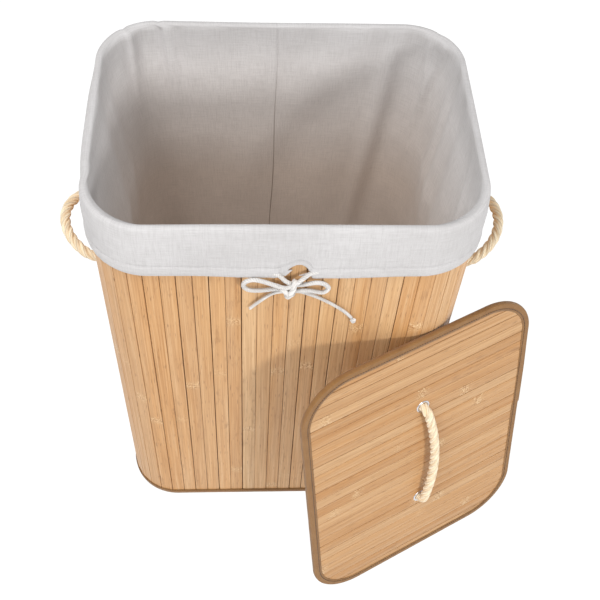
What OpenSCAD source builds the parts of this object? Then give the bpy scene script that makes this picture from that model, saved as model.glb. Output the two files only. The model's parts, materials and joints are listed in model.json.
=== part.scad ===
// Laundry hamper: a rounded oblong basket of bamboo slats on cloth, with a removable
// drawstring liner, rope handles and a separate lid that leans on its front right corner.
// Millimetres. The origin is the centre of the underside of the base, +Z is up, and the
// front, where the liner's bow is tied, faces -Y.

/* [Basket] */
// Outer width, left to right
basket_w = 400; // [380:5:440]
// Outer depth, front to back
basket_d = 300; // [290:5:330]
// Height of the slats' tops above the floor
wall_top = 586; // [560:1:620]
// Radius of the rounded corners
corner_r = 62; // [58:1:66]

/* [Slats] */
// Number of slats round the basket
slat_count = 78; // [74:1:82]
// Thickness of a slat
slat_t = 2; // [1.5:0.1:2.2]
// Gap between neighbouring slats
slat_gap = 0.65; // [0.6:0.05:1.2]
// Distance from the middle of the front to the nearest gap between slats
slat_shift = 4.2; // [0:0.1:8]

/* [Liner] */
// How far the cuff reaches down the outside, hem included
cuff_drop = 74; // [60:1:90]
// Height of the hem that the drawstring runs in
hem_h = 16; // [14:1:20]
// Diameter of the drawstring's ties
tie_d = 4.4; // [3.5:0.1:4.6]

/* [Rope handles] */
// Diameter of the rope
rope_d = 12; // [11:0.5:13]
// Distance between the left handle's two eyelets: six slats
left_span = 99.5; // [90:0.5:120]
// Distance between the right handle's two eyelets: seven slats
right_span = 116; // [90:0.5:120]
// Height of the side handles' eyelets above the floor
side_z = 422; // [380:1:430]
// How far the middle of the side handles lies behind the middle of the basket
side_shift = -4.2; // [-8:0.1:8]
// How far the left rope bows out from the line through its ends
left_bow = 41; // [36:1:44]
// How far the right rope bows out from the line through its ends
right_bow = 49; // [36:1:52]
// How far the left handle stands above level
left_rise = 24; // [0:1:45]
// How far the right handle stands above level
right_rise = 20; // [0:1:45]

/* [Lid] */
// Short side of the lid
lid_w = 315; // [305:1:330]
// Long side of the lid
lid_l = 415; // [405:1:430]
// Radius of the lid's corners
lid_r = 66; // [60:1:75]
// Distance between the lid's two eyelets
lid_span = 182; // [160:1:200]
// How far the lid's eyelets lie from its long centre line
lid_eyelet_x = 5; // [0:1:10]
// How far the lid's rope bows out
lid_bow = 12.5; // [10:0.5:20]
// How far the lid's rope flops to one side of upright
lid_flop = 68; // [0:1:80]
// Heading of the leaning lid, turned about the vertical
lid_heading = 27.4; // [20:0.1:35]
// Lean of the lid away from the vertical
lid_lean = 12.3; // [10:0.1:15]

/* [Hidden] */
$fn = 96;

bamboo = "burlywood";
tape = "peru";
cloth = "gainsboro";
cotton = "whitesmoke";
rope_colour = "wheat";
metal = "silver";
eps = 0.01;

// The wall, from outside in
half_w = basket_w / 2;
half_d = basket_d / 2;
side_x = half_w - corner_r;
side_y = half_d - corner_r;
side_len = [2 * side_x, 2 * side_y, 2 * side_x, 2 * side_y];
arc_len = corner_r * PI / 2;
pitch = (side_len[0] + side_len[1]) * 2 / slat_count + 4 * arc_len / slat_count;
slat_w = pitch - slat_gap;
slat_z0 = 1.2;
backing_out = -slat_t - 0.1;
backing_in = backing_out - 0.8;

// The bindings fold over the top and bottom edges of the wall
binding_gap = 0.55;
binding_t = 0.6;
binding_top = wall_top + 2;
top_tape_h = 22;
bottom_tape_h = 10;

// The base
base_inset = -6;
base_edge_t = 1.5;
cover_t = 0.8;
board_t = 3;
base_top = 2 * cover_t + board_t;
strip_t = 0.7;

// Rods in cloth sleeves, one in each corner
rod_r = 1.5;
sleeve_bore = 1.7;
sleeve_r = 2.8;
rod_place = [side_x, side_y] + [1, 1] * (corner_r + backing_in - 0.1 - sleeve_r) / sqrt(2);
rod_z = [5.2, wall_top - 21];
sleeve_z = [12, wall_top - 26];

// Eyelets and rope
rope_r = rope_d / 2;
bore_r = rope_r + 0.2;
barrel_r = bore_r + 0.55;
hole_r = barrel_r + 0.15;
flange_r = 9.1;
flange_t = 0.9;
washer_t = 0.8;
stub_out = 2.2;
hinge_out = 9.5;
ball_r = rope_r + 0.45;
knot_ring = rope_r + 0.4;
wall_depth = -backing_in;

// The liner
liner_t = 1.2;
floor_in = liner_t + 0.2;
liner_floor_z = 5.6;
liner_waist_z = 432;
cuff_in = 2.2;
cuff_out = 4;
crest_z = [binding_top + 0.4, binding_top + 2];
hem_z = [crest_z[1] - cuff_drop, crest_z[1] - cuff_drop + hem_h];
hem_in = 0.9;
hem_out = 4.9;
// Each outline is [half width, half depth, corner radius, height] of the bag's outside
bag_top = [half_w - 5, half_d - 5, 68, crest_z[0]];
bag_waist = [half_w - 22, half_d - 12, 50, liner_waist_z];
bag_foot = [half_w - 28, half_d - 18, 50, liner_floor_z];
seam_x = -8;
seam_w = 10;
seam_t = 0.6;
seam_gap = 0.05;
// The gap in the hem where the drawstring comes out: left, right and peak, [x, height]
notch = [[-7, -5], [25, 9], [12, hem_h + 6]];

// The ties' routes, [x, y, z] from the wall's outer face at the hem's lower edge: out of the
// hem, round a loop and down to a tail
left_tie_route = [
    [-14, -3.9, 9], [-7, -5, 5], [-1, -7, -1], [6, -7, -6], [13, -7, -7],
    [21, -7.4, -5], [30, -7.4, -3], [38, -7.4, -5], [43, -7, -12], [40, -6, -20],
    [34, -6, -21], [25, -7, -17], [15, -9, -14], [5, -10, -14], [-4, -7, -18],
    [-14, -4, -26], [-25, -3.6, -38], [-37, -3.6, -53]
];
right_tie_route = [
    [32, -3.9, 11], [24, -5, 9], [16, -8, 4], [8, -10.5, -3], [-1, -11, -7],
    [-12, -9.6, -4], [-24, -8, 0], [-34, -7.4, 2], [-42, -7.4, -2],
    [-43, -7, -10], [-37, -6, -17], [-26, -5, -19], [-14, -5, -17], [-3, -6, -15],
    [8, -6, -17], [20, -4.4, -24], [36, -3.6, -35], [52, -3.6, -48], [64, -3.6, -60],
    [72, -3.7, -71]
];
knot_low = [4, -8.5, -16];
knot_high = [9, -8, 2];
tail_end = [74, -5.3, -74.5];
tail_r = 3.7;

// The lid, from its outer face down; its own frame has X across, Y up and Z outward
lid_slat_t = 2;
lid_board_z = -4.6;
lid_under_z = -5.2;
lid_back_z = -5.8;
lid_tape_w = 10.5;
lid_tape_in = 1;
lid_slat_count = 25;
lid_contact_x = 18;
lid_gap = 1;
lid_hinge_z = 8.6;
lid_stub_z = 1.3;

// ---- 2-D outlines ----

// A rectangle with true round corners
module rounded(w, d, r) {
    square([w - 2 * r, d], center = true);
    square([w, d - 2 * r], center = true);
    for (x = [-1, 1], y = [-1, 1])
        translate([x * (w / 2 - r), y * (d / 2 - r)])
            circle(r);
}

// The basket's outline, moved out by a distance, or in where it is negative
module outline(out) {
    rounded(basket_w + 2 * out, basket_d + 2 * out, corner_r + out);
}

// A wall that follows the basket's outline between two offsets and two heights
module band(out, in, z0, z1) {
    translate([0, 0, z0])
        linear_extrude(z1 - z0)
            difference() {
                outline(out);
                outline(in);
            }
}

// A flat plate of the basket's outline
module plate(out, z0, z1) {
    translate([0, 0, z0])
        linear_extrude(z1 - z0)
            outline(out);
}

// ---- Slats ----

// Where the straight of each wall starts, measured along the outline
function wall_start(i) = i == 0 ? 0 : wall_start(i - 1) + side_len[i - 1] + arc_len;

// The middle of slat k, measured along the outline from the start of the front wall
function slat_mid(k) = let (s = side_x + slat_shift + (k + 0.5) * pitch, total = slat_count * pitch)
    s - floor(s / total) * total;

// The wall that a place belongs to: its straight and the corner after it
function wall_of(s) = s < wall_start(1) ? 0 : s < wall_start(2) ? 1 : s < wall_start(3) ? 2 : 3;

function along_wall(s) = s - wall_start(wall_of(s));
function in_corner(s) = along_wall(s) >= side_len[wall_of(s)];

module slat(s) {
    i = wall_of(s);
    t = along_wall(s);
    bend = in_corner(s) ? 90 * (t - side_len[i]) / arc_len : 0;
    x_sign = i < 2 ? 1 : -1;
    y_sign = i == 0 || i == 3 ? -1 : 1;
    translate([x_sign * side_x, y_sign * side_y, 0])
        rotate(90 * i + bend)
            translate([in_corner(s) ? 0 : t - side_len[i], -corner_r, slat_z0])
                translate([-slat_w / 2, 0, 0])
                    cube([slat_w, slat_t, wall_top - slat_z0]);
}

// All the slats of one wall, or of the corner after it
module slats(wall, corner) {
    color(bamboo)
        difference() {
            union()
                for (k = [0:slat_count - 1])
                    if (wall_of(slat_mid(k)) == wall && in_corner(slat_mid(k)) == corner)
                        slat(slat_mid(k));
            if (!corner && wall % 2 == 1)
                handle_holes(wall == 1 ? 1 : -1);
        }
}

// One side handle's holes through the wall: side is 1 for the right and -1 for the left
module handle_holes(side) {
    on_side(side)
        cylinder(r = hole_r, h = 40, center = true);
}

module wall_backing() {
    color(cloth)
        difference() {
            band(backing_out, backing_in, slat_z0, wall_top);
            handle_holes(1);
            handle_holes(-1);
        }
}

// The strip that joins the two ends of the slat mat, inside the back wall
module wall_join_strip() {
    color(cloth)
        translate([-62, half_d + backing_in - strip_t, 12])
            cube([24, strip_t, wall_top - 46]);
}

module top_binding() {
    color(tape)
        difference() {
            band(binding_gap + binding_t, backing_in - binding_t, binding_top - top_tape_h, binding_top);
            band(binding_gap, backing_in, 0, wall_top + 0.4);
        }
}

module bottom_binding() {
    color(tape)
        difference() {
            band(binding_gap + binding_t, backing_in - binding_t, 0, bottom_tape_h);
            band(binding_gap, backing_in, slat_z0 - 0.2, wall_top);
        }
}

// ---- Base ----

module base_board() {
    color("sienna")
        plate(base_inset - base_edge_t, cover_t, cover_t + board_t);
}

module base_top_cover() {
    color(cloth)
        plate(base_inset - base_edge_t, cover_t + board_t, base_top);
}

module base_bottom_cover() {
    color(cloth)
        plate(base_inset - base_edge_t, 0, cover_t);
}

module base_edge_binding() {
    color(tape)
        band(base_inset, base_inset - base_edge_t, 0, base_top);
}

// The cloth hinge that lets the base fold up against the back wall
module base_hinge_strip() {
    color(cloth)
        translate([0, half_d - 4.2, base_top])
            rotate([90, 0, -90])
                linear_extrude(220, center = true)
                    polygon([[0, 0], [24, 0], [24, strip_t], [strip_t, strip_t], [strip_t, 26], [0, 26]]);
}

// ---- Rods ----

module at_corners() {
    for (x = [-1, 1], y = [-1, 1])
        translate([x * rod_place[0], y * rod_place[1], 0])
            children();
}

module support_rods() {
    color(metal)
        at_corners()
            translate([0, 0, rod_z[0]])
                cylinder(r = rod_r, h = rod_z[1] - rod_z[0], $fn = 32);
}

module rod_sleeves() {
    color(cloth)
        at_corners()
            translate([0, 0, sleeve_z[0]])
                difference() {
                    cylinder(r = sleeve_r, h = sleeve_z[1] - sleeve_z[0], $fn = 32);
                    translate([0, 0, -1])
                        cylinder(r = sleeve_bore, h = sleeve_z[1], $fn = 32);
                }
}

// ---- Eyelets and rope, pointing out along +Z from a wall's outer face at z = 0 ----

module eyelet(depth) {
    color(metal)
        difference() {
            union() {
                cylinder(r = flange_r, h = flange_t);
                translate([0, 0, -depth])
                    cylinder(r = barrel_r, h = depth + flange_t / 2);
            }
            translate([0, 0, -depth - 1])
                cylinder(r = bore_r, h = depth + 3);
        }
}

module washer(depth) {
    color(metal)
        translate([0, 0, -depth - washer_t])
            difference() {
                cylinder(r = flange_r, h = washer_t);
                translate([0, 0, -1])
                    cylinder(r = bore_r, h = washer_t + 2);
            }
}

// The fixed end of a rope: through the eyelet to the knot that stops it inside
module rope_end(depth, reach) {
    color(rope_colour) {
        translate([0, 0, -depth - washer_t - rope_d + 1])
            cylinder(r = rope_r, h = depth + washer_t + rope_d - 1 + reach);
        translate([0, 0, -depth - washer_t - 0.1 - rope_r])
            rotate_extrude()
                translate([knot_ring, 0])
                    circle(rope_r);
    }
}

// The free part of a rope handle: a bow in the XY plane between two points on the Y axis
module rope_bow(span, bow) {
    bend_r = (span * span / 4 + bow * bow) / (2 * bow);
    half_turn = asin(span / 2 / bend_r);
    color(rope_colour) {
        translate([bow - bend_r, 0, 0])
            rotate([0, 0, -half_turn])
                rotate_extrude(angle = 2 * half_turn)
                    translate([bend_r, 0])
                        circle(rope_r);
        for (y = [-1, 1])
            translate([0, y * span / 2, 0])
                rotate([0, 90, 0])
                    sphere(ball_r);
    }
}

function handle_span(side) = side > 0 ? right_span : left_span;

// The places of one side handle's eyelets
module on_side(side) {
    for (y = [-1, 1])
        translate([side * half_w, side_shift + y * handle_span(side) / 2, side_z])
            rotate([0, side * 90, 0])
                children();
}

module side_rope(side, bow, rise) {
    mirror([side > 0 ? 0 : 1, 0, 0])
        translate([half_w + hinge_out, side_shift, side_z])
            rotate([0, -rise, 0])
                rope_bow(handle_span(side), bow);
}

// ---- Liner ----

// A thin slice of the bag's outline, moved in by a distance
module bag_slice(section, in) {
    translate([0, 0, section[3] - eps])
        linear_extrude(2 * eps)
            rounded(2 * (section[0] - in), 2 * (section[1] - in), section[2] - in, $fn = 48);
}

module bag_solid(in) {
    hull() {
        bag_slice(bag_top, in);
        bag_slice(bag_waist, in);
    }
    hull() {
        bag_slice(bag_waist, in);
        bag_slice(bag_foot, in);
    }
}

module liner_walls() {
    color(cloth)
        difference() {
            bag_solid(0);
            bag_solid(liner_t);
        }
}

module liner_floor() {
    color(cloth)
        translate([0, 0, liner_floor_z + eps])
            linear_extrude(liner_t)
                rounded(2 * (bag_foot[0] - floor_in), 2 * (bag_foot[1] - floor_in), bag_foot[2] - floor_in);
}

// The gap in the hem, cut right through the front of it
module hem_notch() {
    translate([0, -half_d + 10, hem_z[0]])
        rotate([90, 0, 0])
            linear_extrude(30)
                polygon([notch[0], notch[1], notch[2]]);
}

module liner_cuff() {
    color(cloth)
        difference() {
            union() {
                band(cuff_out, cuff_in, hem_z[1], crest_z[0] + eps);
                translate([0, 0, crest_z[0] + eps])
                    linear_extrude(crest_z[1] - crest_z[0] - eps)
                        difference() {
                            outline(cuff_out);
                            rounded(2 * (bag_top[0] - liner_t), 2 * (bag_top[1] - liner_t), bag_top[2] - liner_t);
                        }
            }
            hem_notch();
        }
}

module hem_casing() {
    color(cloth)
        difference() {
            band(hem_out, hem_in, hem_z[0], hem_z[1]);
            band(hem_out - 1, hem_in + 1.1, hem_z[0] + 2, hem_z[1] - 2);
            hem_notch();
        }
}

// The sewn seam down the middle of the bag's back wall, inside
module liner_seam() {
    faces = [liner_t + seam_gap, liner_t + seam_gap + seam_t];
    foot_z = bag_foot[3] + 6;
    color(cloth)
        translate([seam_x, 0, 0])
            rotate([90, 0, 90])
                linear_extrude(seam_w, center = true)
                    polygon([
                        [bag_top[1] - faces[1], bag_top[3]], [bag_waist[1] - faces[1], bag_waist[3]],
                        [bag_foot[1] - faces[1], foot_z], [bag_foot[1] - faces[0], foot_z],
                        [bag_waist[1] - faces[0], bag_waist[3]], [bag_top[1] - faces[0], bag_top[3]]
                    ]);
}

// The flat drawstring inside the hem
module drawstring() {
    color(cotton)
        difference() {
            band(hem_out - 1.4, hem_in + 1.5, hem_z[0] + 3.5, hem_z[1] - 3.5);
            hem_notch();
        }
}

// ---- Ties ----

// The wall's outer face at the hem's lower edge, where the ties' routes are measured from
module at_hem() {
    translate([0, -half_d, hem_z[0]])
        children();
}

// A point of the smooth curve through points b and c
function curve_at(a, b, c, d, t) =
    0.5 * (2 * b + (c - a) * t + (2 * a - 5 * b + 4 * c - d) * t * t
        + (3 * b - a - 3 * c + d) * t * t * t);

function route_point(route, i) = route[max(0, min(len(route) - 1, i))];

// A route with its curve filled in, a few steps from each point to the next
function smooth_route(route, steps = 3) = [
    for (i = [0:len(route) - 2], j = [0:steps - 1])
        curve_at(route_point(route, i - 1), route[i], route[i + 1], route_point(route, i + 2), j / steps),
    route[len(route) - 1]
];

function unit(v) = v / norm(v);

// One ring of the tube; the ties lie nearly flat, so the ring is set square to +Y
function ring(path, i, r, sides) =
    let (
        heading = unit(route_point(path, i + 1) - route_point(path, i - 1)),
        across = unit(cross(heading, [0, 1, 0])),
        up = cross(across, heading)
    )
    [for (k = [0:sides - 1]) path[i] + r * (across * cos(360 * k / sides) + up * sin(360 * k / sides))];

module tie(route, sides = 8) {
    path = smooth_route(route);
    rings = len(path);
    points = [for (i = [0:rings - 1]) each ring(path, i, tie_d / 2, sides)];
    walls = [
        for (i = [0:rings - 2], k = [0:sides - 1])
            let (next = (k + 1) % sides)
            [i * sides + k, i * sides + next, (i + 1) * sides + next, (i + 1) * sides + k]
    ];
    start_cap = [for (k = [sides - 1:-1:0]) k];
    end_cap = [for (k = [0:sides - 1]) (rings - 1) * sides + k];
    color(cotton)
        at_hem()
            polyhedron(points, concat([start_cap], walls, [end_cap]));
}

module bow_knot() {
    color(cotton)
        at_hem()
            hull() {
                translate(knot_low)
                    sphere(6, $fn = 24);
                translate(knot_high)
                    sphere(3.6, $fn = 24);
            }
}

module tail_knot() {
    color(cotton)
        at_hem()
            translate(tail_end)
                sphere(tail_r);
}

// ---- Lid ----

// The lid stands on a short edge, turned by its heading, and leans on the front right corner
module lid_place() {
    back = [-sin(lid_heading), cos(lid_heading)];
    across = [cos(lid_heading), sin(lid_heading)];
    touch = [side_x, -side_y] - (corner_r + lid_gap) * back;
    depth = -lid_back_z;
    foot = touch - back * (lid_l * sin(lid_lean) + depth * cos(lid_lean)) - across * lid_contact_x;
    translate([foot[0], foot[1], depth * sin(lid_lean)])
        rotate([90 - lid_lean, 0, lid_heading])
            children();
}

module lid_plate(in, z0, z1) {
    translate([0, lid_l / 2, z0])
        linear_extrude(z1 - z0)
            rounded(lid_w - 2 * in, lid_l - 2 * in, lid_r - in);
}

module at_lid_eyelets() {
    for (y = [-1, 1])
        translate([lid_eyelet_x, lid_l / 2 + y * lid_span / 2, 0])
            children();
}

module lid_holes() {
    at_lid_eyelets()
        cylinder(r = hole_r, h = 40, center = true);
}

module lid_slats() {
    span = lid_l - 2 * lid_tape_in;
    step = span / lid_slat_count;
    color(bamboo)
        lid_place()
            difference() {
                intersection() {
                    lid_plate(lid_tape_in + 0.2, -lid_slat_t, 0);
                    union()
                        for (k = [0:lid_slat_count - 1])
                            translate([-lid_w / 2, lid_tape_in + k * step + slat_gap / 2, -lid_slat_t])
                                cube([lid_w, step - slat_gap, lid_slat_t]);
                }
                lid_holes();
            }
}

module lid_sheet(z0, z1) {
    lid_place()
        difference() {
            lid_plate(lid_tape_in + 0.2, z0, z1);
            lid_holes();
        }
}

module lid_board() {
    color("sienna")
        lid_sheet(lid_board_z, -lid_slat_t);
}

module lid_underside() {
    color(cloth)
        lid_sheet(lid_under_z, lid_board_z);
}

module lid_binding() {
    color(tape)
        lid_place()
            difference() {
                lid_plate(0, lid_back_z, binding_t);
                lid_plate(lid_tape_w, lid_back_z - 1, binding_t + 1);
                lid_plate(lid_tape_in, lid_under_z, 0);
            }
}

module lid_eyelets() {
    lid_place()
        at_lid_eyelets()
            eyelet(-lid_under_z);
}

module lid_washers() {
    lid_place()
        at_lid_eyelets()
            washer(-lid_under_z);
}

module lid_rope_knots() {
    lid_place()
        at_lid_eyelets()
            rope_end(-lid_under_z, lid_stub_z);
}

module lid_rope() {
    lid_place()
        translate([lid_eyelet_x, lid_l / 2, lid_hinge_z])
            rotate([0, lid_flop - 90, 0])
                rope_bow(lid_span, lid_bow);
}

slats(0, false);  // front_slats
slats(1, false);  // right_slats
slats(2, false);  // back_slats
slats(3, false);  // left_slats
slats(0, true);  // front_right_corner_slats
slats(1, true);  // back_right_corner_slats
slats(2, true);  // back_left_corner_slats
slats(3, true);  // front_left_corner_slats
wall_backing();
wall_join_strip();
top_binding();
bottom_binding();
base_board();
base_top_cover();
base_bottom_cover();
base_edge_binding();
base_hinge_strip();
support_rods();
rod_sleeves();
on_side(-1) eyelet(wall_depth);  // left_eyelets
on_side(1) eyelet(wall_depth);  // right_eyelets
on_side(-1) washer(wall_depth);  // left_washers
on_side(1) washer(wall_depth);  // right_washers
on_side(-1) rope_end(wall_depth, stub_out);  // left_rope_knots
on_side(1) rope_end(wall_depth, stub_out);  // right_rope_knots
side_rope(-1, left_bow, left_rise);  // left_rope
side_rope(1, right_bow, right_rise);  // right_rope
liner_walls();
liner_floor();
liner_cuff();
hem_casing();
liner_seam();
drawstring();
tie(left_tie_route);  // tie_left
tie(right_tie_route);  // tie_right
bow_knot();
tail_knot();
lid_slats();
lid_board();
lid_underside();
lid_binding();
lid_eyelets();
lid_washers();
lid_rope_knots();
lid_rope();
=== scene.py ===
"""A bamboo laundry hamper with its cloth liner, rope handles and loose lid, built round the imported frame.

Metres throughout. Every position comes from the frame's boxes or its joints, and the few shop
dimensions that the frame can't tell, such as a slat's width, are named at the top.
"""
import json
import math
import random

import bpy
import numpy as np
from mathutils import Matrix, Vector


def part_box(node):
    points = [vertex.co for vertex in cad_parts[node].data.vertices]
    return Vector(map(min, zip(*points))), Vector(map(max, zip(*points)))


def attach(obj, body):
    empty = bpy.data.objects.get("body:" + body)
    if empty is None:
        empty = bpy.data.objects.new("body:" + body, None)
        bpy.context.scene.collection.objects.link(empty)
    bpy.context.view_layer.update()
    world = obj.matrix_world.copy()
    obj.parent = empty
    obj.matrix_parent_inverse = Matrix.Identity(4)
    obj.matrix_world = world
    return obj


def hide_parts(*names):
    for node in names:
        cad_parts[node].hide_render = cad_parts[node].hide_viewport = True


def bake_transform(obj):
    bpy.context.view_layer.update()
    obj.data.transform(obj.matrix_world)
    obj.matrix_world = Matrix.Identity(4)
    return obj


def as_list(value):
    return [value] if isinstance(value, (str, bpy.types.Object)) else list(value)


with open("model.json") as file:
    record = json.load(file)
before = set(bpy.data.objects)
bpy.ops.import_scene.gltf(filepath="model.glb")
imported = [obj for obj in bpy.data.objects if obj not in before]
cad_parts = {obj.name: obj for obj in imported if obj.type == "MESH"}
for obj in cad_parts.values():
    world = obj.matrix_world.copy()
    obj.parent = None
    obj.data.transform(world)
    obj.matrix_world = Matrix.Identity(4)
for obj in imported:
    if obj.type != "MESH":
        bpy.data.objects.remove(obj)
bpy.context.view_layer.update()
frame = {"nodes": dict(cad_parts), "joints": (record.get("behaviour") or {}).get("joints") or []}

# ---------------------------------------------------------------- dimensions

CORNER_R = 0.062
SLAT_COUNT = 78
SLAT_T = 0.002
SLAT_SHIFT = 0.0042
LID_LEN = 0.415
LID_WIDTH = 0.315
LID_R = 0.066
LID_SLATS = 25
LID_SLAT_T = 0.002
LID_BACK = -0.0058
LID_SPAN = 0.182
LID_EYELET_X = 0.005
LID_HINGE_Z = 0.0086
LID_BOW = 0.0125
LID_FLOP = math.radians(68)
ROPE_R = 0.006
ROPE_PITCH = 0.043
LEFT_SPAN = 0.0995
RIGHT_SPAN = 0.116
LEFT_BOW = 0.041
RIGHT_BOW = 0.049
LEFT_RISE = math.radians(24)
RIGHT_RISE = math.radians(20)
TIE_D = 0.0044
TIE_STEP = 0.0009
KNOT_R = 0.0031
# How far each rope's straight part runs through its eyelet, from its inner end outwards
SIDE_STRAIGHT = (-0.0135, -0.009, -0.004, 0.0005, 0.0035)
LID_STRAIGHT = (-0.017, -0.012, -0.006, 0, 0.0035)
SIDE_STOPPER = -0.0098
LID_STOPPER = -0.0121
EYELET_FLANGE_R = 0.0091
FOOT_R = 0.05
WAIST_Z = 0.432

joints = {j["name"]: j for j in frame["joints"]}
wall_low, wall_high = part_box("front_slats")
HALF_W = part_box("right_slats")[1][0]
HALF_D = -wall_low[1]
SLAT_Z0, WALL_TOP = wall_low[2], wall_high[2]
STRAIGHT_X = HALF_W - CORNER_R
STRAIGHT_Y = HALF_D - CORNER_R
ARC = CORNER_R * math.pi / 2
SIDES = [2 * STRAIGHT_X, 2 * STRAIGHT_Y, 2 * STRAIGHT_X, 2 * STRAIGHT_Y]
PERIMETER = sum(SIDES) + 4 * ARC
PITCH = PERIMETER / SLAT_COUNT
SIDE_Z = joints["right_handle_swing"]["pos_m"][2]
SIDE_HINGE_X = joints["right_handle_swing"]["pos_m"][0]
SIDE_Y = joints["right_handle_swing"]["pos_m"][1]

# The lid's own frame: across, up and out from its face, and the middle of its bottom edge
LID_UP = Vector(joints["lid_handle_flop"]["axis"]).normalized()
LID_ACROSS = LID_UP.cross(Vector((0, 0, 1))).normalized() * -1
if LID_ACROSS.x < 0:
    LID_ACROSS = -LID_ACROSS
LID_OUT = LID_ACROSS.cross(LID_UP)
LID_FOOT = (Vector(joints["lid_handle_flop"]["pos_m"]) - LID_ACROSS * LID_EYELET_X
            - LID_UP * (LID_LEN / 2) - LID_OUT * LID_HINGE_Z)


def lid_point(x, y, z):
    return LID_FOOT + LID_ACROSS * x + LID_UP * y + LID_OUT * z


# ---------------------------------------------------------------- camera

CAMERA_AT = Vector((-0.0425, -0.7347, 1.2874))
HEADING = math.radians(5.68)
TILT = math.radians(-54.19)
ROLL = math.radians(4.47)
LENS = 57.6


def add_camera():
    forward = Vector((math.sin(HEADING) * math.cos(TILT), math.cos(HEADING) * math.cos(TILT), math.sin(TILT)))
    right = Vector((math.cos(HEADING), -math.sin(HEADING), 0))
    up = right.cross(forward)
    right_rolled = right * math.cos(ROLL) + up * math.sin(ROLL)
    up_rolled = up * math.cos(ROLL) - right * math.sin(ROLL)
    data = bpy.data.cameras.new("camera")
    data.lens = LENS
    data.sensor_width = 36
    data.clip_end = 100
    camera = bpy.data.objects.new("camera", data)
    bpy.context.collection.objects.link(camera)
    axes = Matrix((right_rolled, up_rolled, -forward)).transposed()
    camera.matrix_world = Matrix.Translation(CAMERA_AT) @ axes.to_4x4()
    bpy.context.scene.camera = camera


add_camera()


# ---------------------------------------------------------------- small tools

def add_mesh(name, points, faces, material, smooth=True, attributes=None):
    """A new object. attributes maps a name to a list with three numbers for each point."""
    mesh = bpy.data.meshes.new(name)
    mesh.from_pydata([tuple(p) for p in points], [], [tuple(int(i) for i in f) for f in faces])
    for key, values in (attributes or {}).items():
        layer = mesh.attributes.new(key, "FLOAT_VECTOR", "POINT")
        layer.data.foreach_set("vector", np.asarray(values, dtype=np.float32).ravel())
    mesh.validate()
    mesh.update()
    for polygon in mesh.polygons:
        polygon.use_smooth = smooth
    obj = bpy.data.objects.new(name, mesh)
    bpy.context.collection.objects.link(obj)
    mesh.materials.append(material)
    return obj


def grid_faces(rows, columns, wrap_rows=False, wrap_columns=False, start=0, flip=False):
    faces = []
    for i in range(rows if wrap_rows else rows - 1):
        for j in range(columns if wrap_columns else columns - 1):
            a = start + i * columns + j
            b = start + i * columns + (j + 1) % columns
            c = start + ((i + 1) % rows) * columns + (j + 1) % columns
            d = start + ((i + 1) % rows) * columns + j
            faces.append((a, d, c, b) if flip else (a, b, c, d))
    return faces


def capped_faces(rings, sides, start):
    """The faces of a tube with closed ends."""
    faces = grid_faces(rings, sides, wrap_columns=True, start=start, flip=True)
    last = start + (rings - 1) * sides
    return faces + [range(start, start + sides), range(last + sides - 1, last - 1, -1)]


def belongs(piece, body, slot, *nodes):
    """What a piece rides on, the record's slot for its material, which is not used, and the CAD nodes that it
    stands for.
    """
    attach(piece, body)
    if nodes:
        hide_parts(*nodes)
    return piece


def wall_start(i):
    return sum(SIDES[:i]) + i * ARC


def outline(s, half_w=HALF_W, half_d=HALF_D, r=CORNER_R):
    """Points and outward directions on a rounded oblong, for places s along the basket's own outline.

    s starts where the front wall's straight does, and runs to the right. The oblong may be smaller than the
    basket: each straight and each corner of it answers to the basket's."""
    s = np.mod(np.asarray(s, dtype=float), PERIMETER)
    half_w, half_d, r = (np.broadcast_to(np.asarray(v, dtype=float), s.shape) for v in (half_w, half_d, r))
    x, y, nx, ny = (np.zeros_like(s) for _ in range(4))
    signs = [(1, -1), (1, 1), (-1, 1), (-1, -1)]
    for i in range(4):
        t = s - wall_start(i)
        here = (t >= -1e-9) & (t < SIDES[i] + ARC)
        if i < 3:
            here &= s < wall_start(i + 1)
        heading = math.pi / 2 * i
        bend = np.clip((t - SIDES[i]) / ARC, 0, 1) * math.pi / 2
        along = np.clip(t / SIDES[i], 0, 1) - 1
        length = 2 * ((half_w - r) if i % 2 == 0 else (half_d - r))
        cx, cy = signs[i][0] * (half_w - r), signs[i][1] * (half_d - r)
        px = cx + math.cos(heading) * along * length + r * np.sin(heading + bend)
        py = cy + math.sin(heading) * along * length - r * np.cos(heading + bend)
        x, y = np.where(here, px, x), np.where(here, py, y)
        nx, ny = np.where(here, np.sin(heading + bend), nx), np.where(here, -np.cos(heading + bend), ny)
    return x, y, nx, ny


def smooth_curve(points, step):
    """A Catmull-Rom curve through the points, resampled to even steps."""
    p = [Vector(q) for q in points]
    fine = []
    for i in range(len(p) - 1):
        a, b, c, d = p[max(i - 1, 0)], p[i], p[i + 1], p[min(i + 2, len(p) - 1)]
        for k in range(12):
            t = k / 12
            fine.append(0.5 * (2 * b + (c - a) * t + (2 * a - 5 * b + 4 * c - d) * t * t
                               + (3 * b - a - 3 * c + d) * t ** 3))
    fine.append(p[-1])
    return resample(fine, step)


def run_along(points):
    """How far along a path each of its points lies."""
    return np.concatenate([[0], np.cumsum(np.linalg.norm(np.diff(points, axis=0), axis=1))])


def resample(points, step):
    p = np.array([tuple(q) for q in points])
    run = run_along(p)
    count = max(3, int(round(run[-1] / step)) + 1)
    places = np.linspace(0, run[-1], count)
    return np.stack([np.interp(places, run, p[:, k]) for k in range(3)], axis=1)


def path_frames(path):
    """Tangent, side and up at each point of a path, turned as little as possible from one to the next."""
    tangent = np.gradient(path, axis=0)
    tangent /= np.linalg.norm(tangent, axis=1)[:, None]
    side = np.zeros_like(path)
    first = np.cross(tangent[0], (0.13, 0.21, 0.97))
    side[0] = first / np.linalg.norm(first)
    for i in range(1, len(path)):
        v = side[i - 1] - tangent[i] * np.dot(side[i - 1], tangent[i])
        side[i] = v / np.linalg.norm(v)
    return tangent, side, np.cross(tangent, side)


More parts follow.
